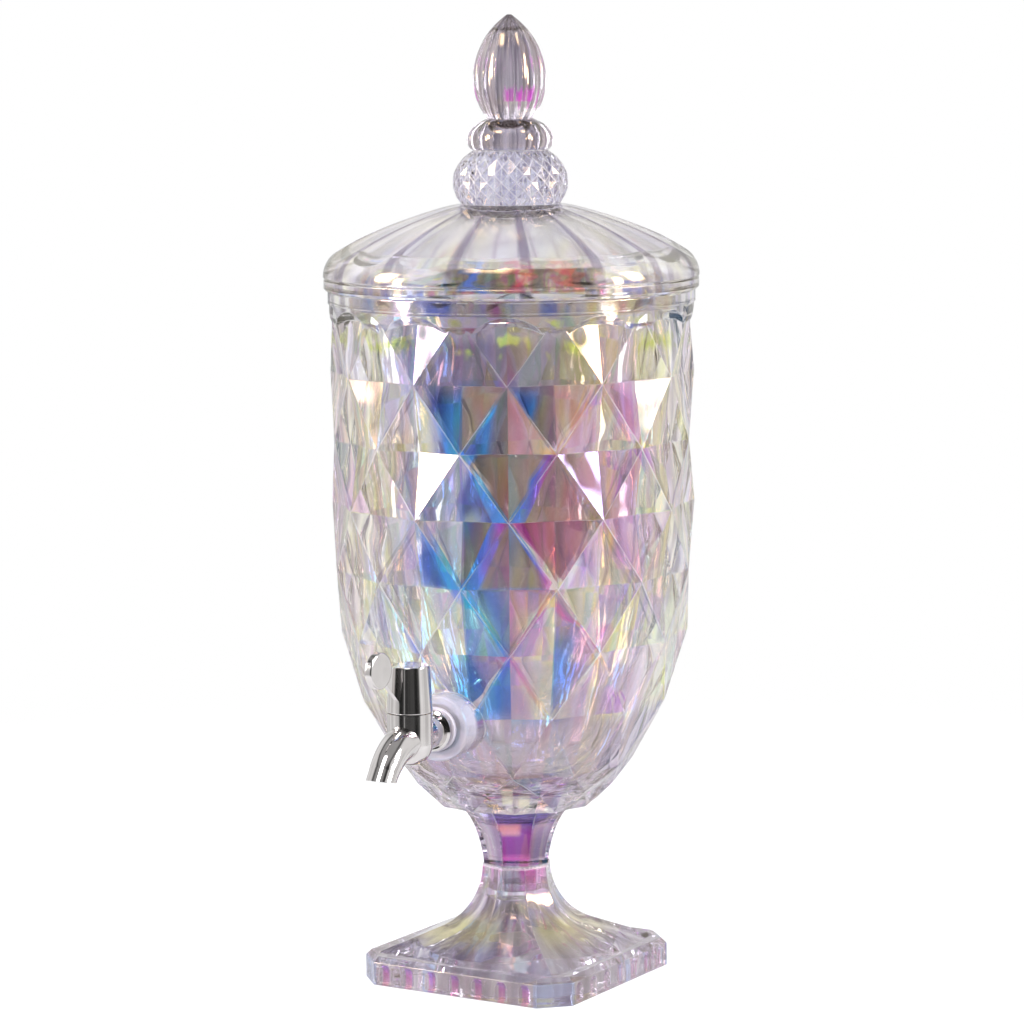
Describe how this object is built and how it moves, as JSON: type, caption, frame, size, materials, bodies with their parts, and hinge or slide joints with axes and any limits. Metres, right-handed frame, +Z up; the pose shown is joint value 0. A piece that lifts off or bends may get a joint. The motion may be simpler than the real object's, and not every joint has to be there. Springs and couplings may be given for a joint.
{
  "type": "beverage dispenser",
  "caption": "Footed glass drinks dispenser: diamond-cut urn, fluted domed lid with a finial, faceted stem on a square fluted foot, and a chrome quarter-turn tap.",
  "frame": {"origin": "middle of the foot's underside, on the table under the bowl's axis", "axes": "+Z up along the bowl's axis, -Y out of the bowl along the tap's shank, +X to the right of someone facing the tap"},
  "size_m": [0.2064, 0.2823, 0.5317],
  "materials": {
    "coated_glass": "clear, with a thin rainbow coating",
    "chrome": "mirror polished",
    "pale_silicone": "soft, half clear",
    "ring_rubber": "matt",
    "white_plastic": "moulded",
    "screw_steel": "plain"
  },
  "bodies": {
    "vessel": {"bowl": "coated_glass", "pedestal": "coated_glass", "tap_body": "chrome", "outer_gasket": "pale_silicone", "inner_gasket": "pale_silicone", "clamp_nut": "white_plastic"},
    "cover": {"lid": "coated_glass", "finial": "coated_glass"},
    "tap_turn": {"tap_handle": "chrome", "handle_cap": "chrome", "handle_screw": "screw_steel", "valve_plug": "white_plastic", "plug_o_rings": "ring_rubber"}
  },
  "joints": [
    {"name": "lid_lift", "type": "slide", "parent": "vessel", "child": "cover", "axis": [0, 0, 1], "range_m": [0, 0.15]},
    {"name": "tap_lever", "type": "hinge", "parent": "vessel", "child": "tap_turn", "pos_m": [0, -0.13523, 0.1555], "axis": [0, 0, 1], "range_deg": [0, 90]}
  ]
}
